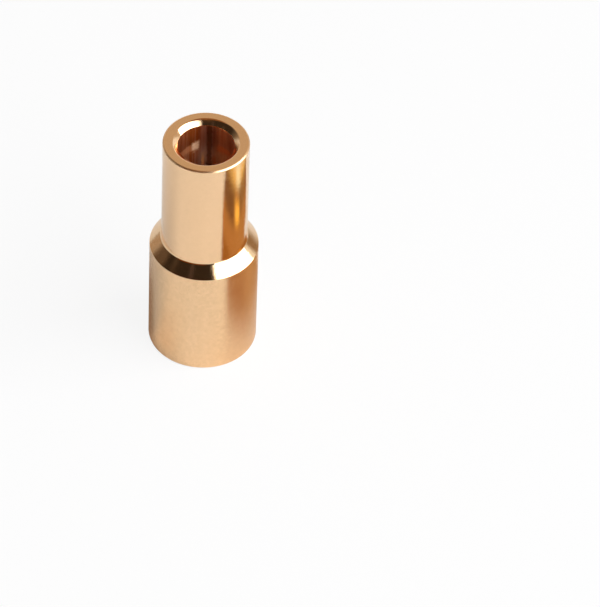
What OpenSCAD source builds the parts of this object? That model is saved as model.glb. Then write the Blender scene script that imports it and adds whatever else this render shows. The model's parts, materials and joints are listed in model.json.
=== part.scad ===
// Turned sleeve of a speaker plug. The wide end is tapped and screws onto the plug's contact.
// The narrow tube takes the bared wire, which is soldered or crimped in it.
// The sleeve stands on its tapped end. Sizes are in millimetres and angles in degrees.

/* [Tapped barrel] */
// Outer diameter of the barrel
barrel_d = 8; // [7.2:0.1:10]
// Length of the barrel, from its face to the foot of the shoulder
barrel_length = 9.2; // [7:0.1:14]
// Slope of the shoulder cone above the level
shoulder_angle = 45; // [30:1:60]

/* [Wire tube] */
// Outer diameter of the tube
tube_d = 6.3; // [5.4:0.1:7.6]
// Length of the tube, from the top of the shoulder to its rim
tube_length = 9.25; // [6:0.05:14]
// Radius of the fillet where the tube meets the shoulder
tube_root_r = 0.3; // [0.1:0.05:0.6]

/* [Wire bore] */
// Diameter of the bore that takes the wire
wire_bore_d = 4.1; // [2.5:0.05:5]
// How far the funnel at the mouth opens past the bore on each side
wire_funnel_margin = 0.4; // [0.1:0.025:0.6]
// Full angle of the funnel
wire_funnel_angle = 100; // [60:1:120]

/* [Tapped hole] */
// Nominal diameter of the thread
thread_d = 6; // [5:0.1:6.8]
// Pitch of the thread
thread_pitch = 1; // [0.5:0.05:1.25]
// Depth of the tap drill's full diameter below the face
tap_drill_depth = 9; // [6:0.1:12]
// Full angle of the tap drill's point
drill_point_angle = 118; // [90:1:140]
// How far the countersink opens past the thread on each side
countersink_margin = 0.3; // [0.1:0.05:0.4]
// Full angle of the countersink
countersink_angle = 90; // [60:1:120]

/* [Outer edges] */
// Radius that rounds the outer edge at each end
edge_r = 0.15; // [0.05:0.01:0.25]

/* [Hidden] */

// Gold plate
plate_colour = [0.92, 0.76, 0.52];

// How far a cut runs past the face that it opens
overcut = 0.5;

// Outer form
barrel_r = barrel_d / 2;
tube_r = tube_d / 2;
shoulder_top = barrel_length + (barrel_r - tube_r) * tan(shoulder_angle);
sleeve_length = shoulder_top + tube_length;

// Fillet at the root of the tube, measured from the corner of tube and shoulder. It touches the tube wall and the
// shoulder cone, so its centre lies on the line that halves their corner. The cone's own length limits it.
shoulder_slant = (barrel_r - tube_r) / cos(shoulder_angle);
root_half_corner = tan(45 - shoulder_angle / 2);
root_r = min(tube_root_r, shoulder_slant / root_half_corner);
root_centre = root_r * [1, root_half_corner];
root_on_cone = root_centre - root_r * [sin(shoulder_angle), cos(shoulder_angle)];
root_on_wall = [0, root_centre.y];

// Wire bore
wire_bore_r = wire_bore_d / 2;
wire_funnel_r = wire_bore_r + wire_funnel_margin;
wire_funnel_depth = wire_funnel_margin / tan(wire_funnel_angle / 2);

// Tapped hole, drilled to the thread's diameter less one pitch and countersunk at its face
tap_drill_r = (thread_d - thread_pitch) / 2;
countersink_r = thread_d / 2 + countersink_margin;
countersink_depth = (countersink_r - tap_drill_r) / tan(countersink_angle / 2);
drill_point_depth = abs(tap_drill_r - wire_bore_r) / tan(drill_point_angle / 2);

$fn = 128;

// Half section of the outside, from the axis to the turned surface. A circle rounds the outer edge at each end.
module outer_section() {
    polygon([
        [0, 0],
        [barrel_r - edge_r, 0],
        [barrel_r - edge_r, edge_r],
        [barrel_r, edge_r],
        [barrel_r, barrel_length],
        [tube_r, shoulder_top],
        [tube_r, sleeve_length - edge_r],
        [tube_r - edge_r, sleeve_length - edge_r],
        [tube_r - edge_r, sleeve_length],
        [0, sleeve_length]
    ]);
    translate([barrel_r - edge_r, edge_r]) circle(edge_r);
    translate([tube_r - edge_r, sleeve_length - edge_r]) circle(edge_r);
}

// Section of the metal that the nose of the turning tool leaves in the corner at the root of the tube
module tube_root_section() {
    translate([tube_r, shoulder_top])
        difference() {
            polygon([[0, 0], root_on_cone, root_centre, root_on_wall]);
            translate(root_centre) circle(root_r);
        }
}

// Half section of the hole right through the sleeve: countersink, tap drill, drill point, wire bore and funnel
module hole_section() {
    countersink_slope = tan(countersink_angle / 2);
    funnel_slope = tan(wire_funnel_angle / 2);
    polygon([
        [0, -overcut],
        [countersink_r + overcut * countersink_slope, -overcut],
        [tap_drill_r, countersink_depth],
        [tap_drill_r, tap_drill_depth],
        [wire_bore_r, tap_drill_depth + drill_point_depth],
        [wire_bore_r, sleeve_length - wire_funnel_depth],
        [wire_funnel_r + overcut * funnel_slope, sleeve_length + overcut],
        [0, sleeve_length + overcut]
    ]);
}

module plug_sleeve() {
    color(plate_colour)
        rotate_extrude()
            difference() {
                union() {
                    outer_section();
                    tube_root_section();
                }
                hole_section();
            }
}

plug_sleeve();
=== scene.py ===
import json
import math

import bmesh
import bpy
from mathutils import Matrix, Vector


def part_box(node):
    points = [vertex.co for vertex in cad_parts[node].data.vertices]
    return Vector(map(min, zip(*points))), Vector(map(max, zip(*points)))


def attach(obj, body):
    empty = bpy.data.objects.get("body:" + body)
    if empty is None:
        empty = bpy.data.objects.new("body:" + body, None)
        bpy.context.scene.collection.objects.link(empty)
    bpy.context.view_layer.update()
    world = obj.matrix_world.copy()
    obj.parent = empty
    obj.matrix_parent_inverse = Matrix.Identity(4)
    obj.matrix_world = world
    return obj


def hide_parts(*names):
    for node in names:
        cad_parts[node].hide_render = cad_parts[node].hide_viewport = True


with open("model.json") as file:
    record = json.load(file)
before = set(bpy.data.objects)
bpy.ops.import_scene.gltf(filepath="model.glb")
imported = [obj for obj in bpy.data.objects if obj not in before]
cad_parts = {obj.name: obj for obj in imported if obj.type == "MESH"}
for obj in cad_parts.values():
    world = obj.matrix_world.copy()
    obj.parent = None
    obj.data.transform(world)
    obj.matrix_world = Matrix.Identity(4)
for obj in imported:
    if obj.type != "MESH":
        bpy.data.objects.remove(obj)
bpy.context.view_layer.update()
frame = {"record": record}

# Plug sleeve. The real one is brass bar, turned to two diameters with a sloped shoulder between them. It is
# drilled from both ends, tapped in the wide end and gold plated all over, with nothing else fixed to it.

# Turned blank: the outline is spun about the axis, and each corner is rounded as the tool left it
MM = 0.001
SHOULDER_ANGLE = 45
FUNNEL_ANGLE = 100
DRILL_POINT_ANGLE = 118
COUNTERSINK_ANGLE = 90


def slope(angle):
    """The tangent of an angle in degrees."""
    return math.tan(math.radians(angle))


mounts = {mount["name"]: mount for mount in frame["record"]["mounts"]}
sleeve_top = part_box("plug_sleeve")[1].z
barrel_r = 4.0 * MM
barrel_length = 9.2 * MM
tube_r = 3.15 * MM
tube_root_r = 0.3 * MM
shoulder_top = barrel_length + (barrel_r - tube_r) * slope(SHOULDER_ANGLE)
wire_bore_r = mounts["wire_bore"]["dims"]["r_mm"] * MM
funnel_margin = 0.4 * MM
funnel_depth = funnel_margin / slope(FUNNEL_ANGLE / 2)
tap_drill_r = mounts["tapped_hole"]["dims"]["r_mm"] * MM
tap_drill_depth = 9.0 * MM
drill_point_depth = (tap_drill_r - wire_bore_r) / slope(DRILL_POINT_ANGLE / 2)
countersink_r = 3.3 * MM
countersink_depth = (countersink_r - tap_drill_r) / slope(COUNTERSINK_ANGLE / 2)

ROUND_STEPS = 256
SAME_PLACE = 0.0001 * MM
ON_RING = 0.001 * MM
END_EDGE = 0.15 * MM
RIM_EDGE = 0.08 * MM
MOUTH_EDGE = 0.035 * MM
SOFT_EDGE = 0.03 * MM
DRILLED_EDGE = 0.015 * MM
TUBE_ROOT = tube_root_r * slope((90 - SHOULDER_ANGLE) / 2)
BEVEL_STEPS = {END_EDGE: 7, TUBE_ROOT: 8, RIM_EDGE: 5, MOUTH_EDGE: 4, SOFT_EDGE: 3, DRILLED_EDGE: 3}

# Each corner of the outline as radius, height and width of rounding, up the outside and down the hole
outline = [
    (countersink_r, 0, SOFT_EDGE),
    (barrel_r, 0, END_EDGE),
    (barrel_r, barrel_length, SOFT_EDGE),
    (tube_r, shoulder_top, TUBE_ROOT),
    (tube_r, sleeve_top, END_EDGE),
    (wire_bore_r + funnel_margin, sleeve_top, RIM_EDGE),
    (wire_bore_r, sleeve_top - funnel_depth, MOUTH_EDGE),
    (wire_bore_r, tap_drill_depth + drill_point_depth, DRILLED_EDGE),
    (tap_drill_r, tap_drill_depth, DRILLED_EDGE),
    (tap_drill_r, countersink_depth, DRILLED_EDGE),
]


def ring_edges(bm, radius, height):
    """The edges of the ring that one corner of the outline makes when it is spun."""
    on_ring = {
        v for v in bm.verts
        if abs(v.co.z - height) < ON_RING and abs(v.co.xy.length - radius) < ON_RING
    }
    return [e for e in bm.edges if on_ring.issuperset(e.verts)]


def new_piece(name, bm):
    """Puts a finished bmesh into a new object at the origin."""
    mesh = bpy.data.meshes.new(name)
    bm.to_mesh(mesh)
    bm.free()
    piece = bpy.data.objects.new(name, mesh)
    bpy.context.scene.collection.objects.link(piece)
    return piece


bm = bmesh.new()
corners = [bm.verts.new((radius, 0, height)) for radius, height, _ in outline]
edges = [bm.edges.new((a, b)) for a, b in zip(corners, corners[1:] + corners[:1])]
bmesh.ops.spin(
    bm, geom=corners + edges, axis=(0, 0, 1), cent=(0, 0, 0),
    angle=math.tau, steps=ROUND_STEPS, use_merge=True
)
bmesh.ops.remove_doubles(bm, verts=bm.verts, dist=SAME_PLACE)
bmesh.ops.recalc_face_normals(bm, faces=bm.faces)
for radius, height, width in outline:
    bmesh.ops.bevel(
        bm, geom=ring_edges(bm, radius, height), offset=width, offset_type="OFFSET",
        affect="EDGES", segments=BEVEL_STEPS[width], profile=0.5, material=-1
    )
sleeve = new_piece("plug_sleeve_turned", bm)

# Thread in the barrel, cut with an M6 tap after drilling. The cutter is one groove of the thread, wound up
# the hole from below the face, and it grows shallow over the last turns as the lead of the tap leaves it.
thread_r = 3.0 * MM
thread_pitch = 1.0 * MM
thread_start = -1.5 * MM
thread_end = 8.0 * MM
runout_start = 6.6 * MM
THREAD_STEPS = 128
FLANK_ANGLE = 30
ROOT_FLAT = 1 / 8
SHARP_ANGLE = 28
cutter_overlap = 0.12 * MM
cutter_r = tap_drill_r - cutter_overlap
groove_root = ROOT_FLAT * thread_pitch / 2
groove_mouth = groove_root + (thread_r - cutter_r) * slope(FLANK_ANGLE)

bm = bmesh.new()
groove = [
    bm.verts.new((radius, 0, thread_start + side))
    for radius, side in (
        (cutter_r, -groove_mouth),
        (thread_r, -groove_root),
        (thread_r, groove_root),
        (cutter_r, groove_mouth),
    )
]
groove_face = bm.faces.new(groove)
turns = (thread_end - thread_start) / thread_pitch
bmesh.ops.spin(
    bm, geom=groove + groove_face.edges[:] + [groove_face], axis=(0, 0, 1), cent=(0, 0, 0),
    angle=math.tau * turns, steps=round(THREAD_STEPS * turns), dvec=(0, 0, thread_pitch / THREAD_STEPS)
)
bmesh.ops.recalc_face_normals(bm, faces=bm.faces)
for vertex in bm.verts:
    run_out = min(max((vertex.co.z - runout_start) / (thread_end - runout_start), 0), 1)
    radius = vertex.co.xy.length
    vertex.co.xy *= 1 - run_out * (radius - cutter_r) / radius
cutter = new_piece("tap", bm)


def settle(piece):
    """Applies the modifiers of a piece to its mesh."""
    seen = piece.evaluated_get(bpy.context.evaluated_depsgraph_get())
    piece.data = bpy.data.meshes.new_from_object(seen)
    piece.modifiers.clear()


cut = sleeve.modifiers.new("thread", "BOOLEAN")
cut.operation = "DIFFERENCE"
cut.solver = "EXACT"
cut.object = cutter
settle(sleeve)
bpy.data.objects.remove(cutter)
sleeve.data.shade_smooth()
sleeve.data.set_sharp_from_angle(angle=math.radians(SHARP_ANGLE))
even = sleeve.modifiers.new("even normals", "WEIGHTED_NORMAL")
even.keep_sharp = True
settle(sleeve)

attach(sleeve, "root")
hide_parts("plug_sleeve")

# Finish: thin gold plate over turned brass. The shoulder, the ends and the tube are bright cut, the barrel
# has a satin skin and the rim's edge is tumbled dull. The thread is bright and coppery. In the wire bore the
# plate is rough, and its red brown is painted shade, with painted light on one side.
PLATE_GOLD = (0.935, 0.643, 0.376, 1)
PLATE_DEEP = (0.855, 0.575, 0.327, 1)
TUBE_PAINTED_PALE = (0.968, 0.652, 0.390, 1)
SPECK_COPPER = (0.76, 0.40, 0.20, 1)
THREAD_GOLD = (0.84, 0.52, 0.29, 1)
THREAD_DEEP = (0.79, 0.465, 0.25, 1)
# Painted shade: the bore's red brown stands in for the shade deep in the hole, and its warm tone is painted
# light
BORE_RED = (0.42, 0.10, 0.018, 1)
BORE_WARM = (0.96, 0.76, 0.59, 1)
DARK_LINE_BROWN = (0.34, 0.13, 0.045, 1)
FAINT_LINE_WARM = (0.80, 0.34, 0.10, 1)
BRIGHT_LINE_COLOUR = (1.0, 0.62, 0.29, 1)
RING_PINK = (1.0, 0.48, 0.23, 1)
LIGHT_PATCH_PALE = (1.0, 0.69, 0.42, 1)

BARREL_ROUGHNESS = 0.22
TUBE_ROUGHNESS = 0.09
BRIGHT_ROUGHNESS = 0.07
RIM_ROUGHNESS = 0.34
THREAD_ROUGHNESS = 0.2
BORE_ROUGHNESS = 0.36
BRIGHT_LINE_ROUGHNESS = 0.80
TURNED_SHEEN = 0.75
ALONG_AXIS = 0.25


def add_node(tree, kind, inputs=(), **settings):
    """A new shader node, with each input linked to a socket or set to a value."""
    made = tree.nodes.new("ShaderNode" + kind)
    for name, value in settings.items():
        setattr(made, name, value)
    for socket, value in dict(inputs).items():
        if isinstance(value, bpy.types.NodeSocket):
            tree.links.new(value, made.inputs[socket])
        else:
            made.inputs[socket].default_value = value
    return made


def calculate(tree, operation, *values):
    """The result of a Math node on up to three values."""
    return add_node(tree, "Math", enumerate(values), operation=operation).outputs[0]


def product(tree, first, *others):
    """All the values multiplied."""
    for other in others:
        first = calculate(tree, "MULTIPLY", first, other)
    return first


def ramp(tree, value, span, ends):
    """Runs smoothly from one end to the other as the value crosses the span."""
    inputs = {"Value": value, "From Min": span[0], "From Max": span[1], "To Min": ends[0], "To Max": ends[1]}
    return add_node(tree, "MapRange", inputs, interpolation_type="SMOOTHSTEP").outputs["Result"]


def rise(tree, value, *span):
    """0 before the span and 1 past it."""
    return ramp(tree, value, span, (0.0, 1.0))


def fall(tree, value, *span):
    """1 before the span and 0 past it."""
    return ramp(tree, value, span, (1.0, 0.0))


def window(tree, value, middle, half, soft):
    """1 within half of the middle, then down to 0 over the soft width."""
    off = calculate(tree, "ABSOLUTE", calculate(tree, "SUBTRACT", value, middle))
    return fall(tree, off, half, half + soft)


def mix(tree, share, first, second):
    """The first value where the share is 0 and the second where it is 1."""
    return add_node(tree, "Mix", {0: share, 2: first, 3: second}).outputs[0]


def blend(tree, share, first, second):
    """The first colour where the share is 0 and the second where it is 1."""
    return add_node(tree, "Mix", {0: share, 6: first, 7: second}, data_type="RGBA").outputs[2]


def noise(tree, place, scale, detail, roughness=0.5):
    """Noise over the surface, at a scale per millimetre."""
    inputs = {"Vector": place, "Scale": scale, "Detail": detail, "Roughness": roughness}
    return add_node(tree, "TexNoise", inputs).outputs[0]


def noise_along(tree, value, scale, detail, roughness=0.5):
    """Noise along one value."""
    inputs = {"W": value, "Scale": scale, "Detail": detail, "Roughness": roughness}
    return add_node(tree, "TexNoise", inputs, noise_dimensions="1D").outputs[0]


plate = bpy.data.materials.new("gold_plate")
plate.use_nodes = True
tree = plate.node_tree
shader = tree.nodes["Principled BSDF"]
place = add_node(tree, "TexCoord").outputs["Object"]
in_mm = add_node(tree, "VectorMath", {0: place, "Scale": 1 / MM}, operation="SCALE").outputs[0]
apart = add_node(tree, "SeparateXYZ", {0: in_mm})
height = apart.outputs["Z"]
across = add_node(tree, "VectorMath", {0: in_mm, 1: (1, 1, 0)}, operation="MULTIPLY").outputs[0]
radius = add_node(tree, "VectorMath", {0: across}, operation="LENGTH").outputs["Value"]

# Where on the sleeve a point lies, from 0 to 1, with lengths in millimetres
FADE = 0.03
root_mm = shoulder_top / MM
edge_mm = barrel_length / MM
mouth_mm = (sleeve_top - funnel_depth) / MM
bore_mm = wire_bore_r / MM
drilled_mm = tap_drill_depth / MM
thread_mm = thread_r / MM
sunk_mm = countersink_r / MM
rim_height_mm = (sleeve_top - END_EDGE) / MM
rim_radius_mm = (tube_r - END_EDGE) / MM
on_tube = rise(tree, height, root_mm - FADE, root_mm + 5 * FADE)
on_barrel = fall(tree, height, edge_mm - FADE, edge_mm)
on_shoulder = calculate(tree, "SUBTRACT", calculate(tree, "SUBTRACT", 1.0, on_tube), on_barrel)
on_rim = product(
    tree,
    rise(tree, height, rim_height_mm, rim_height_mm + FADE),
    rise(tree, radius, rim_radius_mm, rim_radius_mm + FADE)
)
in_bore = product(
    tree,
    fall(tree, radius, bore_mm + FADE, bore_mm + 3 * FADE),
    fall(tree, height, mouth_mm - 3 * FADE, mouth_mm + FADE)
)
past_sink = calculate(tree, "ADD", radius, height)
in_thread = product(
    tree,
    fall(tree, radius, thread_mm + FADE, thread_mm + 2 * FADE),
    fall(tree, height, drilled_mm, drilled_mm + 10 * FADE),
    rise(tree, past_sink, sunk_mm, sunk_mm + 2 * FADE)
)

# Turning marks: fine rings that run round the sleeve, uneven in depth, with a coarser mark here and there
NOISE_SPAN = (0.3, 0.7)
NOISE_MIDDLE = 0.5
RINGS_ON_FACE = 2.6
RING_DEPTHS = (0.35, 1.0)
feed = calculate(tree, "MULTIPLY_ADD", radius, RINGS_ON_FACE, height)
fine_rings = noise_along(tree, feed, scale=5.5, detail=3.0, roughness=0.65)
coarse_rings = noise_along(tree, feed, scale=1.3, detail=1.0)
patches = noise(tree, in_mm, scale=0.28, detail=2.0)
ring_depth = ramp(tree, patches, NOISE_SPAN, RING_DEPTHS)
rings = product(tree, calculate(tree, "ADD", fine_rings, coarse_rings), ring_depth)

# Skin of the plate: a faint unevenness of the deposit, and a few copper specks
SPECK_LOT = (0.55, 1.0)
SPECK_SIZE = (0.0, 0.085)
skin = noise(tree, in_mm, scale=2.8, detail=3.0, roughness=0.6)
grain = noise(tree, in_mm, scale=11.0, detail=2.0)
cells = add_node(tree, "TexVoronoi", {"Vector": in_mm, "Scale": 0.9, "Randomness": 1.0})
lot = add_node(tree, "SeparateColor", {0: cells.outputs["Color"]})
speck_size = ramp(tree, lot.outputs["Red"], SPECK_LOT, SPECK_SIZE)
speck = add_node(
    tree, "MapRange", {"Value": cells.outputs["Distance"], "From Min": speck_size, "From Max": 0.0}
).outputs["Result"]

# Streaks down the wire bore, where the drill's flutes dragged
DRAWN_OUT = 0.012
around = add_node(tree, "VectorMath", {0: across}, operation="NORMALIZE").outputs[0]
up = add_node(tree, "CombineXYZ", {"Z": calculate(tree, "MULTIPLY", height, DRAWN_OUT)}).outputs[0]
flutes = add_node(tree, "VectorMath", {0: around, 1: up}, operation="ADD").outputs[0]
streaks = noise(tree, flutes, scale=7.0, detail=4.0, roughness=0.6)

# Painted marks in the wire bore: a dark and a bright line that are painted reflections, a ring and a patch
# of painted light, and two faint warm lines. A turn is in degrees round the axis from the back, and a depth
# in millimetres below the rim.
WAVES = 5.7
RAGS = 0.7
SLANT = 0.0096
BRIGHT_LINE_TOP = (2.6, 3.8)
FAINT_LINE_TOP = (2.8, 3.8)
RING_TOP = (2.25, 2.55)
RING_FOOT = (2.8, 3.3)
RING_GAP = (16.0, 30.0)
RING_SIDES = (-20.0, 20.0)
RING_STRENGTHS = (0.38, 0.5)
LIGHT_PATCH_TOP = (1.75, 2.15)
LIGHT_PATCH_FOOT = (2.75, 3.15)
BLOTCH_SPAN = (0.3, 0.55)
BLOTCH_STRENGTHS = (0.55, 1.0)
turn = calculate(tree, "DEGREES", calculate(tree, "ARCTAN2", apart.outputs["X"], apart.outputs["Y"]))
depth = calculate(tree, "SUBTRACT", sleeve_top / MM, height)
wavy = calculate(tree, "MULTIPLY_ADD", calculate(tree, "SUBTRACT", skin, NOISE_MIDDLE), WAVES, turn)
ragged = calculate(tree, "MULTIPLY_ADD", skin, RAGS, depth)
slanted = calculate(tree, "MULTIPLY_ADD", turn, SLANT, ragged)
# Painted reflections: a dark line and a bright line down the wall
painted_dark_line = product(tree, window(tree, wavy, middle=6.5, half=3.0, soft=4.0), in_bore)
painted_bright_line = product(
    tree, window(tree, wavy, middle=-6.0, half=1.8, soft=2.4), rise(tree, depth, *BRIGHT_LINE_TOP), in_bore
)
# Two faint warm lines down the wall
faint_left = window(tree, wavy, middle=-42.0, half=1.5, soft=4.0)
faint_right = window(tree, wavy, middle=16.0, half=1.5, soft=4.0)
faint_lines = calculate(tree, "ADD", faint_left, faint_right)
faint_warm_lines = product(tree, faint_lines, rise(tree, depth, *FAINT_LINE_TOP), in_bore)
# Painted light: a pale ring round part of the wall
painted_light_ring = product(
    tree,
    rise(tree, ragged, *RING_TOP),
    fall(tree, ragged, *RING_FOOT),
    rise(tree, calculate(tree, "ABSOLUTE", turn), *RING_GAP),
    ramp(tree, turn, RING_SIDES, RING_STRENGTHS),
    in_bore
)
blotches = noise(tree, in_mm, scale=5.0, detail=2.0)
# Painted light: a pale patch on the wall, made less metallic
painted_light_patch = product(
    tree,
    window(tree, wavy, middle=-22.3, half=5.0, soft=6.0),
    rise(tree, slanted, *LIGHT_PATCH_TOP),
    fall(tree, ragged, *LIGHT_PATCH_FOOT),
    ramp(tree, blotches, BLOTCH_SPAN, BLOTCH_STRENGTHS),
    in_bore
)

# Roughness: each part of the sleeve has its own, and skin, specks, streaks and the painted light ring dull
# it
SKIN_DULL = 0.03
SPECK_DULL = 0.15
STREAK_DULL = 0.05
RING_DULL = 0.12
DEEP_SPAN = (1.5, 3.5)
DEEP_DULL = (0.0, 0.16)
roughness = mix(tree, on_barrel, BRIGHT_ROUGHNESS, BARREL_ROUGHNESS)
roughness = mix(tree, on_tube, roughness, TUBE_ROUGHNESS)
roughness = mix(tree, on_rim, roughness, RIM_ROUGHNESS)
roughness = calculate(tree, "MULTIPLY_ADD", rise(tree, skin, *NOISE_SPAN), SKIN_DULL, roughness)
roughness = calculate(tree, "MULTIPLY_ADD", speck, SPECK_DULL, roughness)
bore_span = (BORE_ROUGHNESS - STREAK_DULL, BORE_ROUGHNESS + STREAK_DULL)
bore_roughness = ramp(tree, streaks, NOISE_SPAN, bore_span)
bore_roughness = calculate(tree, "MULTIPLY_ADD", painted_light_ring, RING_DULL, bore_roughness)
bore_roughness = calculate(tree, "ADD", bore_roughness, ramp(tree, depth, DEEP_SPAN, DEEP_DULL))
bore_roughness = mix(tree, painted_bright_line, bore_roughness, BRIGHT_LINE_ROUGHNESS)
roughness = mix(tree, in_thread, roughness, THREAD_ROUGHNESS)
roughness = mix(tree, in_bore, roughness, bore_roughness)

# Colour: gold that varies with the grain, coppery in the thread, and in the wire bore a red brown of painted
# shade, paler on one side with painted light
GRAIN_SHARE = 1.1
TONE_SPAN = (0.75, 1.35)
TUBE_SHARE = 0.6
PALE_SIDE = (-30.0, 25.0)
PALE_SHARE = (0.0, 0.5)
DEEPER_SPAN = (1.4, 3.8)
DEEPER_SIDE = (-30.0, 10.0)
DEEPER_SHARE = (0.05, 0.6)
STREAK_SHARE = (-0.11, 0.12)
DARK_LINE_SHARE = 0.8
FAINT_LINE_SHARE = 0.5
tone = rise(tree, calculate(tree, "MULTIPLY_ADD", grain, GRAIN_SHARE, skin), *TONE_SPAN)
plate_tint = blend(tree, tone, PLATE_DEEP, PLATE_GOLD)
# Painted reflection: the tube is painted paler, for the brighter floor further out that it mirrors
plate_tint = blend(tree, product(tree, on_tube, TUBE_SHARE), plate_tint, TUBE_PAINTED_PALE)
plate_tint = blend(tree, speck, plate_tint, SPECK_COPPER)
thread_tint = blend(tree, tone, THREAD_DEEP, THREAD_GOLD)
# Painted light: the bore is paler on one side, and deeper down it is paler still towards that side
painted_light_side = ramp(tree, turn, PALE_SIDE, PALE_SHARE)
deeper = product(tree, rise(tree, depth, *DEEPER_SPAN), ramp(tree, turn, DEEPER_SIDE, DEEPER_SHARE))
bore_tone = calculate(tree, "ADD", painted_light_side, deeper)
bore_tone = calculate(tree, "ADD", bore_tone, ramp(tree, streaks, NOISE_SPAN, STREAK_SHARE))
bore_tint = blend(tree, bore_tone, BORE_RED, BORE_WARM)
# Painted reflections and painted light laid into the bore's colour
bore_tint = blend(tree, product(tree, painted_dark_line, DARK_LINE_SHARE), bore_tint, DARK_LINE_BROWN)
bore_tint = blend(tree, painted_light_ring, bore_tint, RING_PINK)
bore_tint = blend(tree, product(tree, faint_warm_lines, FAINT_LINE_SHARE), bore_tint, FAINT_LINE_WARM)
bore_tint = blend(tree, painted_bright_line, bore_tint, BRIGHT_LINE_COLOUR)
bore_tint = blend(tree, painted_light_patch, bore_tint, LIGHT_PATCH_PALE)
tint = blend(tree, in_thread, plate_tint, thread_tint)
tint = blend(tree, in_bore, tint, bore_tint)

# Metal, less under the painted light patch and the painted bright line
BRIGHT_LINE_COVER = 0.4
METAL_UNDER = (1.0, 0.25)
cover = calculate(tree, "MULTIPLY_ADD", painted_bright_line, BRIGHT_LINE_COVER, painted_light_patch)
metal = ramp(tree, cover, (0.0, 1.0), METAL_UNDER)

# Relief, from the turning marks down to the drill's streaks
SHOULDER_GRAIN = 0.3
RINGS_HEIGHT = 0.0007 * MM
SKIN_HEIGHT = 0.005 * MM
GRAIN_HEIGHT = 0.002 * MM
STREAKS_HEIGHT = 0.004 * MM
shoulder_more = calculate(tree, "MULTIPLY_ADD", on_shoulder, SHOULDER_GRAIN, 1.0)
relief = [
    (rings, RINGS_HEIGHT),
    (skin, SKIN_HEIGHT),
    (product(tree, grain, shoulder_more), GRAIN_HEIGHT),
    (product(tree, streaks, in_bore), STREAKS_HEIGHT),
]
normal = {}
for raised, most in relief:
    bump = add_node(tree, "Bump", {"Strength": 1.0, "Distance": most, "Height": raised, **normal})
    normal = {"Normal": bump.outputs[0]}

tree.links.new(tint, shader.inputs["Base Color"])
tree.links.new(metal, shader.inputs["Metallic"])
tree.links.new(roughness, shader.inputs["Roughness"])
tree.links.new(normal["Normal"], shader.inputs["Normal"])
shader.inputs["Anisotropic"].default_value = TURNED_SHEEN
shader.inputs["Anisotropic Rotation"].default_value = ALONG_AXIS
sleeve.data.materials.clear()
sleeve.data.materials.append(plate)

# Studio floor: a wide flat sheet of white card that the sleeve stands on. The camera sees it nearly white,
# with the sleeve's shadow as a faint tone, and the metal shows it with more of that shadow.
FLOOR_WHITE = (0.86, 0.86, 0.865, 1)
FLOOR_HALF = 1.5
WHITE_TO_CAMERA = 0.88
WHITE_TO_METAL = 0.05
WHITE = (1, 1, 1, 1)


def by_ray(tree, to_camera, to_metal):
    """One value for what the camera sees, another for what metal shows, and 0 for plain lighting."""
    path = add_node(tree, "LightPath")
    mirrored = calculate(tree, "ADD", path.outputs["Is Glossy Ray"], path.outputs["Is Transmission Ray"])
    seen = calculate(tree, "MULTIPLY", path.outputs["Is Camera Ray"], to_camera)
    return calculate(tree, "MULTIPLY_ADD", mirrored, to_metal, seen)


bm = bmesh.new()
bmesh.ops.create_grid(bm, x_segments=1, y_segments=1, size=FLOOR_HALF)
floor = new_piece("floor", bm)
white_card = bpy.data.materials.new("white_card")
white_card.use_nodes = True
tree = white_card.node_tree
card = tree.nodes["Principled BSDF"]
card.inputs["Base Color"].default_value = FLOOR_WHITE
card.inputs["Roughness"].default_value = 1
card.inputs["Specular IOR Level"].default_value = 0
glow = add_node(tree, "Emission", {"Color": WHITE})
lit = {0: by_ray(tree, WHITE_TO_CAMERA, WHITE_TO_METAL), 1: card.outputs[0], 2: glow.outputs[0]}
mixed = add_node(tree, "MixShader", lit)
tree.links.new(mixed.outputs[0], tree.nodes["Material Output"].inputs["Surface"])
floor.data.materials.append(white_card)

# Cards that hang round the sleeve like the inside of a dome, painted to glow softly. Only the metal shows
# them: a dark flag in front and at the left with paler slits, a white one behind the light panel, tan sheets
# behind the sleeve, and brown ones at its right and above.
BLACK = (0, 0, 0, 1)
CARD_STEPS = 24
DOME_FADE_INPUTS = ("Half span", "Soft sides", "Low", "Soft low", "High", "Soft high")


def direction(azimuth, elevation):
    """Unit vector from the sleeve, with azimuth 0 towards the camera and 90 to its right, in degrees."""
    level = Vector((math.sin(math.radians(azimuth)), -math.cos(math.radians(azimuth)), 0))
    return level * math.cos(math.radians(elevation)) + Vector((0, 0, math.sin(math.radians(elevation))))


def only_in_metal(thing):
    """Keeps a stage piece out of the camera's view and out of the lighting."""
    thing.visible_camera = False
    thing.visible_diffuse = False
    thing.visible_shadow = False


def glow_paint(thing, colour):
    """Covers a thing with a paint that glows in one colour, and gives the paint's tree and shader."""
    paint = bpy.data.materials.new(thing.name)
    paint.use_nodes = True
    shader = paint.node_tree.nodes["Principled BSDF"]
    shader.inputs["Base Color"].default_value = BLACK
    shader.inputs["Specular IOR Level"].default_value = 0
    shader.inputs["Emission Color"].default_value = (*colour, 1)
    shader.inputs["Emission Strength"].default_value = 1
    thing.data.materials.append(paint)
    return paint.node_tree, shader


def new_group(name, inputs, outputs):
    """A new shader node group with plain values in and out, and its input and output nodes."""
    group = bpy.data.node_groups.new(name, "ShaderNodeTree")
    for socket in inputs:
        group.interface.new_socket(socket, in_out="INPUT", socket_type="NodeSocketFloat")
    for socket in outputs:
        group.interface.new_socket(socket, in_out="OUTPUT", socket_type="NodeSocketFloat")
    return group, group.nodes.new("NodeGroupInput").outputs, group.nodes.new("NodeGroupOutput").inputs


def azimuth_of(tree, spot):
    """The azimuth of a spot round the axis, in degrees."""
    forward = calculate(tree, "MULTIPLY", spot.outputs["Y"], -1.0)
    return calculate(tree, "DEGREES", calculate(tree, "ARCTAN2", spot.outputs["X"], forward))


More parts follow.
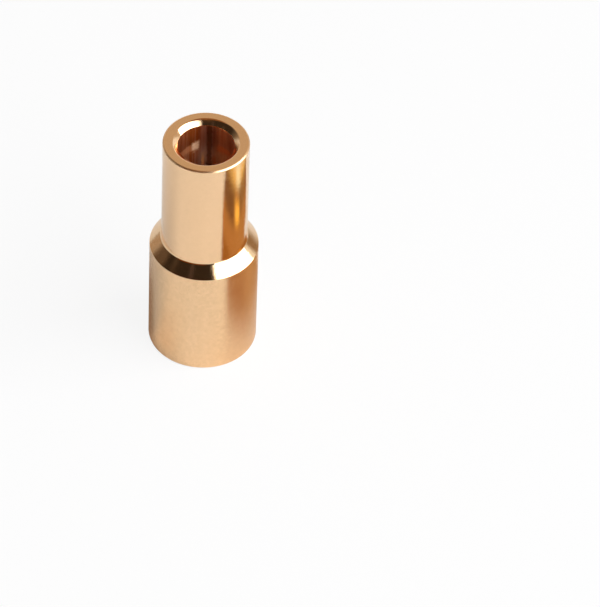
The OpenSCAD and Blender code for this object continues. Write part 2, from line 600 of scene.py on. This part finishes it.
# Fade of a dome card: it shows inside its span and between its low and high edge, in degrees
dome_fade, given, result = new_group("dome_fade", DOME_FADE_INPUTS, ["Shown"])
place = add_node(dome_fade, "TexCoord").outputs["Object"]
spot = add_node(dome_fade, "SeparateXYZ", {0: place})
away = add_node(dome_fade, "VectorMath", {0: place}, operation="LENGTH").outputs["Value"]
risen = calculate(dome_fade, "ARCSINE", calculate(dome_fade, "DIVIDE", spot.outputs["Z"], away))
risen = calculate(dome_fade, "DEGREES", risen)
turned = calculate(dome_fade, "ABSOLUTE", azimuth_of(dome_fade, spot))
side = calculate(dome_fade, "SUBTRACT", given["Half span"], given["Soft sides"])
foot = calculate(dome_fade, "ADD", given["Low"], given["Soft low"])
head = calculate(dome_fade, "SUBTRACT", given["High"], given["Soft high"])
shown = product(
    dome_fade,
    fall(dome_fade, turned, side, given["Half span"]),
    rise(dome_fade, risen, given["Low"], foot),
    fall(dome_fade, risen, head, given["High"])
)
dome_fade.links.new(shown, result["Shown"])


def dome_card(name, colour, distance, azimuth, span, low, high, soft_sides, soft_low, soft_high):
    """Hangs a card at a distance in metres, over a span round the sleeve and from low to high in degrees."""
    bm = bmesh.new()
    rib = [
        bm.verts.new(direction(-span / 2, low + (high - low) * step / CARD_STEPS) * distance)
        for step in range(CARD_STEPS + 1)
    ]
    edges = [bm.edges.new(pair) for pair in zip(rib, rib[1:])]
    bmesh.ops.spin(
        bm, geom=rib + edges, axis=(0, 0, 1), cent=(0, 0, 0), angle=math.radians(span), steps=CARD_STEPS
    )
    hung = new_piece(name, bm)
    hung.matrix_world = Matrix.Rotation(math.radians(azimuth), 4, "Z")
    tree, shader = glow_paint(hung, colour)
    values = zip(DOME_FADE_INPUTS, (span / 2, soft_sides, low, soft_low, high, soft_high))
    fade = add_node(tree, "Group", values, node_tree=dome_fade)
    tree.links.new(fade.outputs["Shown"], shader.inputs["Alpha"])
    only_in_metal(hung)


dome_card(
    "dark_flag", (0.036, 0.025, 0.017), distance=0.62, azimuth=-36, span=232, low=1, high=66,
    soft_sides=56, soft_low=3, soft_high=7
)
dome_card(
    "panel_glow", (3.0, 3.0, 3.0), distance=0.56, azimuth=63.25, span=93.5, low=30, high=61,
    soft_sides=20, soft_low=6, soft_high=4
)
dome_card(
    "flag_gap", (0.075, 0.052, 0.045), distance=0.61, azimuth=-26, span=16, low=22, high=62,
    soft_sides=8, soft_low=10, soft_high=10
)
dome_card(
    "flag_slit", (0.07, 0.05, 0.035), distance=0.61, azimuth=-66, span=22, low=22, high=50,
    soft_sides=11, soft_low=8, soft_high=8
)
dome_card(
    "flag_lift", (0.125, 0.088, 0.062), distance=0.12, azimuth=-98, span=44, low=8, high=34,
    soft_sides=14, soft_low=6, soft_high=10
)
dome_card(
    "warm_horizon", (0.24, 0.08, 0.02), distance=0.50, azimuth=-28, span=80, low=0.5, high=28,
    soft_sides=14, soft_low=0.3, soft_high=6
)
dome_card(
    "tan_left", (0.44, 0.345, 0.265), distance=0.10, azimuth=-138, span=76, low=0, high=26,
    soft_sides=22, soft_low=1.5, soft_high=10
)
dome_card(
    "tan_sheet", (0.565, 0.445, 0.325), distance=0.66, azimuth=180, span=180, low=14, high=74,
    soft_sides=25, soft_low=10, soft_high=14
)
dome_card(
    "brown_patch", (0.34, 0.23, 0.14), distance=0.03, azimuth=132, span=52, low=2, high=36,
    soft_sides=11, soft_low=16, soft_high=9
)
dome_card(
    "brown_ceiling", (0.26, 0.12, 0.045), distance=0.70, azimuth=0, span=359.9, low=45, high=89.9,
    soft_sides=0.1, soft_low=10, soft_high=0.1
)

# Painted shadows and light on the floor round the base, as thin sheets that only the metal shows: a warm
# painted shadow at the right, a painted shadow behind the left side, a painted shade at the right front and
# painted warm light at the left front.
FLOOR_OUTPUTS = ("Right", "Back", "Off", "Azimuth")
UNIT_HALF = 0.5
floor_place, _, result = new_group("floor_place", [], FLOOR_OUTPUTS)
place = add_node(floor_place, "TexCoord").outputs["Object"]
flat = {0: place, 1: (1 / MM, 1 / MM, 0)}
level = add_node(floor_place, "VectorMath", flat, operation="MULTIPLY").outputs[0]
spot = add_node(floor_place, "SeparateXYZ", {0: level})
off = add_node(floor_place, "VectorMath", {0: level}, operation="LENGTH").outputs["Value"]
measured = (spot.outputs["X"], spot.outputs["Y"], off, azimuth_of(floor_place, spot))
for socket, value in zip(FLOOR_OUTPUTS, measured):
    floor_place.links.new(value, result[socket])


def floor_tint(name, colour, low, high, lift):
    """Lays a tinted sheet on the floor between two corners in millimetres, and gives its paint and place."""
    low = Vector(low)
    high = Vector(high)
    bm = bmesh.new()
    bmesh.ops.create_grid(bm, x_segments=1, y_segments=1, size=UNIT_HALF)
    bmesh.ops.scale(bm, verts=bm.verts, vec=(*(high - low) * MM, 1))
    bmesh.ops.translate(bm, verts=bm.verts, vec=(*(low + high) / 2 * MM, lift * MM))
    sheet = new_piece(name, bm)
    only_in_metal(sheet)
    tree, shader = glow_paint(sheet, colour)
    return tree, shader, add_node(tree, "Group", node_tree=floor_place).outputs


def beside(tree, spot, lean):
    """How far back a spot on the floor lies from a slanting line through the axis, in millimetres."""
    return calculate(tree, "MULTIPLY_ADD", spot["Right"], lean, spot["Back"])


# Painted shadow at the right, tinted warm and paler towards the back
STRIP_RED = (0.37, 0.15, 0.03, 1)
STRIP_ORANGE = (0.50, 0.27, 0.11, 1)
STRIP_LEAN = 0.762
STRIP_PALER = (-4.0, 1.0)
STRIP_LEFT = (3.0, 9.2)
STRIP_EDGE = (-4.2, -1.5)
STRIP_BACK = (6.0, 8.0)
tree, shader, spot = floor_tint("painted_warm_shadow", STRIP_RED[:3], low=(2.5, -17.0), high=(15.5, 8.0), lift=0.1)
strip_tint = blend(tree, rise(tree, spot["Back"], *STRIP_PALER), STRIP_RED, STRIP_ORANGE)
strip_shown = product(
    tree,
    rise(tree, spot["Right"], *STRIP_LEFT),
    rise(tree, beside(tree, spot, STRIP_LEAN), *STRIP_EDGE),
    fall(tree, spot["Back"], *STRIP_BACK)
)
tree.links.new(strip_tint, shader.inputs["Emission Color"])
tree.links.new(strip_shown, shader.inputs["Alpha"])

# Painted shadow behind the left side of the sleeve
DIM_BROWN = (0.29, 0.20, 0.145)
DIM_LEAN = 0.92
DIM_LEFT = (-11.0, -6.0)
DIM_EDGE = (-6.0, -4.4)
DIM_BACK = (4.0, 9.0)
tree, shader, spot = floor_tint("painted_left_shadow", DIM_BROWN, low=(-11.0, -3.0), high=(-2.0, 9.0), lift=0.1)
dim_shown = product(
    tree,
    rise(tree, spot["Right"], *DIM_LEFT),
    rise(tree, beside(tree, spot, DIM_LEAN), *DIM_EDGE),
    fall(tree, spot["Back"], *DIM_BACK)
)
tree.links.new(dim_shown, shader.inputs["Alpha"])

SHADE_BROWN = (0.36, 0.22, 0.12)
NEAR_SPAN = (4.4, 7.5)
NEAR_SHADE = (0.16, 0.0)
FAR_SPAN = (10.0, 15.0)
FAR_SHADE = (0.22, 0.0)
SHADE_SIDE = (2.0, 48.0)
tree, shader, spot = floor_tint("contact_shade", SHADE_BROWN, low=(-16, -16), high=(16, 16), lift=0.05)
near_shade = ramp(tree, spot["Off"], NEAR_SPAN, NEAR_SHADE)
far_shade = ramp(tree, spot["Off"], FAR_SPAN, FAR_SHADE)
shade_depth = calculate(tree, "ADD", near_shade, far_shade)
shade_shown = product(tree, shade_depth, rise(tree, spot["Azimuth"], *SHADE_SIDE))
tree.links.new(shade_shown, shader.inputs["Alpha"])

# Painted pool of warm light at the left front
GLOW_TAN = (0.82, 0.66, 0.52)
OUT_SPAN = (4.0, 13.0)
OUT_GLOW = (0.65, 0.0)
BASE_SPAN = (4.1, 5.0)
BASE_GLOW = (0.4, 1.0)
GLOW_LEFT = (-88.0, -64.0)
GLOW_RIGHT = (-55.0, -15.0)
tree, shader, spot = floor_tint("warm_glow", GLOW_TAN, low=(-14, -14), high=(14, 14), lift=0.15)
glow_shown = product(
    tree,
    ramp(tree, spot["Off"], OUT_SPAN, OUT_GLOW),
    ramp(tree, spot["Off"], BASE_SPAN, BASE_GLOW),
    rise(tree, spot["Azimuth"], *GLOW_LEFT),
    fall(tree, spot["Azimuth"], *GLOW_RIGHT)
)
tree.links.new(glow_shown, shader.inputs["Alpha"])

# Warm roll: a tapered roll that lies on the floor at the right and glows in painted colours, where only the
# metal shows it. Its side is painted gold low down and a painted dark reflection above, with a painted
# highlight streak and a painted pale top in the middle of its length.
roll_near_r = 3.845 * MM
roll_far_r = 3.15 * MM
roll_near = Vector((13.68, -9.95, 4.0)) * MM
roll_far = Vector((12.5, 6.9, 4.0)) * MM
ROLL_STEPS = 64
ROLL_SHARP = 40
ROLL_GOLD = (0.51, 0.247, 0.078, 1)
ROLL_DARK_REFLECTION = (0.22, 0.105, 0.038, 1)
ROLL_BROWN = (0.33, 0.17, 0.06, 1)
ROLL_DIP = (0.42, 0.20, 0.055, 1)
ROLL_HIGHLIGHT_STREAK = (1.3, 0.79, 0.155, 1)
ROLL_HIGHLIGHT_PALE = (1.0, 0.70, 0.24, 1)
ROLL_HIGHLIGHT_TOP = (1.10, 1.12, 0.84, 1)

bm = bmesh.new()
bmesh.ops.create_cone(
    bm, cap_ends=True, segments=ROLL_STEPS, radius1=roll_near_r, radius2=roll_far_r,
    depth=(roll_far - roll_near).length
)
roll = new_piece("warm_roll", bm)
roll.matrix_world = (
    Matrix.Translation((roll_near + roll_far) / 2)
    @ (roll_far - roll_near).to_track_quat("Z", "Y").to_matrix().to_4x4()
)
roll.data.shade_smooth()
roll.data.set_sharp_from_angle(angle=math.radians(ROLL_SHARP))
only_in_metal(roll)

# Painted bands of the roll, placed along it in millimetres and by how far they rise round it in degrees
ALONG_START = 0.625
FAR_END = (2.0, 4.6)
FAR_END_RAISED = -14.0
DARK_FROM = (16.0, 35.0)
STREAK_FOOT = (20.0, 36.0)
STREAK_HEAD = (46.0, 62.0)
PALE_FROM = (66.0, 88.0)
PALE_SLANT = -1.3
PALE_LEAST = 0.5
TOP_FROM = (66.0, 86.0)
tree, shader = glow_paint(roll, ROLL_GOLD[:3])
spot = add_node(tree, "SeparateXYZ", {0: add_node(tree, "TexCoord").outputs["Object"]})
risen = calculate(tree, "DEGREES", calculate(tree, "ARCTAN2", spot.outputs["Y"], spot.outputs["X"]))
along = calculate(tree, "MULTIPLY_ADD", spot.outputs["Z"], 1 / MM, ALONG_START)
far_end = rise(tree, along, *FAR_END)
# Painted dark reflection above, then painted highlights: a bright streak, a pale sheen and a pale top
dark = rise(tree, calculate(tree, "MULTIPLY_ADD", far_end, FAR_END_RAISED, risen), *DARK_FROM)
dip = window(tree, along, middle=0.8, half=0.8, soft=1.8)
streak = product(
    tree,
    window(tree, along, middle=1.2, half=0.3, soft=2.0),
    rise(tree, risen, *STREAK_FOOT),
    fall(tree, risen, *STREAK_HEAD)
)
pale_middle = window(tree, along, middle=2.0, half=2.5, soft=6.0)
pale_share = calculate(tree, "MULTIPLY_ADD", pale_middle, 1 - PALE_LEAST, PALE_LEAST)
pale_risen = calculate(tree, "MULTIPLY_ADD", along, PALE_SLANT, risen)
pale = product(tree, rise(tree, pale_risen, *PALE_FROM), pale_share)
top = product(tree, rise(tree, risen, *TOP_FROM), window(tree, along, middle=1.4, half=0.3, soft=2.6))
roll_dark_paint = blend(tree, dip, blend(tree, far_end, ROLL_DARK_REFLECTION, ROLL_BROWN), ROLL_DIP)
roll_paint = blend(tree, dark, ROLL_GOLD, roll_dark_paint)
roll_paint = blend(tree, streak, roll_paint, ROLL_HIGHLIGHT_STREAK)
roll_paint = blend(tree, pale, roll_paint, ROLL_HIGHLIGHT_PALE)
roll_paint = blend(tree, top, roll_paint, ROLL_HIGHLIGHT_TOP)
tree.links.new(roll_paint, shader.inputs["Emission Color"])

# Light panel: a large soft box that stands on the floor at the right front and faces the sleeve. It is the
# only lamp, and it and the card behind it make the white highlights on the metal.
PANEL_AZIMUTH = 66
PANEL_DISTANCE = 0.35
PANEL_WIDTH = 0.587
PANEL_HEIGHT = 0.56
PANEL_RADIANCE = 4.5
panel = bpy.data.lights.new("panel", "AREA")
panel.shape = "RECTANGLE"
panel.size = PANEL_WIDTH
panel.size_y = PANEL_HEIGHT
panel.energy = PANEL_RADIANCE * math.pi * PANEL_WIDTH * PANEL_HEIGHT
to_panel = direction(PANEL_AZIMUTH, 0)
panel_stand = bpy.data.objects.new("panel", panel)
panel_stand.matrix_world = (
    Matrix.Translation(to_panel * PANEL_DISTANCE + Vector((0, 0, PANEL_HEIGHT / 2)))
    @ to_panel.to_track_quat("Z", "Y").to_matrix().to_4x4()
)
panel_stand.visible_camera = False
bpy.context.scene.collection.objects.link(panel_stand)

# Pale room round the table. It is white where the camera or the metal sees it, and softer as a lamp, so that
# the panel's light still models the sleeve.
ROOM_LIGHT = 0.30
room = bpy.data.worlds.new("pale_room")
room.use_nodes = True
bpy.context.scene.world = room
tree = room.node_tree
walls = tree.nodes["Background"]
seen_white = by_ray(tree, 1 - ROOM_LIGHT, 1 - ROOM_LIGHT)
tree.links.new(calculate(tree, "ADD", seen_white, ROOM_LIGHT), walls.inputs["Strength"])
walls.inputs["Color"].default_value = WHITE

# Camera, at the photograph's place and turn. It stands well back and looks down at the sleeve from in front.
# Its lens is set from a focal length in pixels of the picture's longer side. Its angles are in radians.
LONG_SIDE_PIXELS = 607
FOCAL_PIXELS = 5000
SENSOR_MM = 36
NEAREST = 0.01
FARTHEST = 10
camera_back = 259.93 * MM
camera_height = 266.70 * MM
camera_pan = 0.0277
camera_tilt = 0.7924
camera_lean = 0.0417
camera = bpy.data.cameras.new("camera")
camera.sensor_width = SENSOR_MM
camera.lens = FOCAL_PIXELS * SENSOR_MM / LONG_SIDE_PIXELS
camera.clip_start = NEAREST
camera.clip_end = FARTHEST
looking = Vector((math.sin(camera_pan), math.cos(camera_pan), 0)) * math.cos(camera_tilt)
looking.z = -math.sin(camera_tilt)
camera_stand = bpy.data.objects.new("camera", camera)
camera_stand.matrix_world = (
    Matrix.Translation((0, -camera_back, camera_height))
    @ looking.to_track_quat("-Z", "Y").to_matrix().to_4x4()
    @ Matrix.Rotation(camera_lean, 4, "Z")
)
bpy.context.scene.collection.objects.link(camera_stand)
bpy.context.scene.camera = camera_stand
bpy.context.scene.view_settings.view_transform = "Standard"
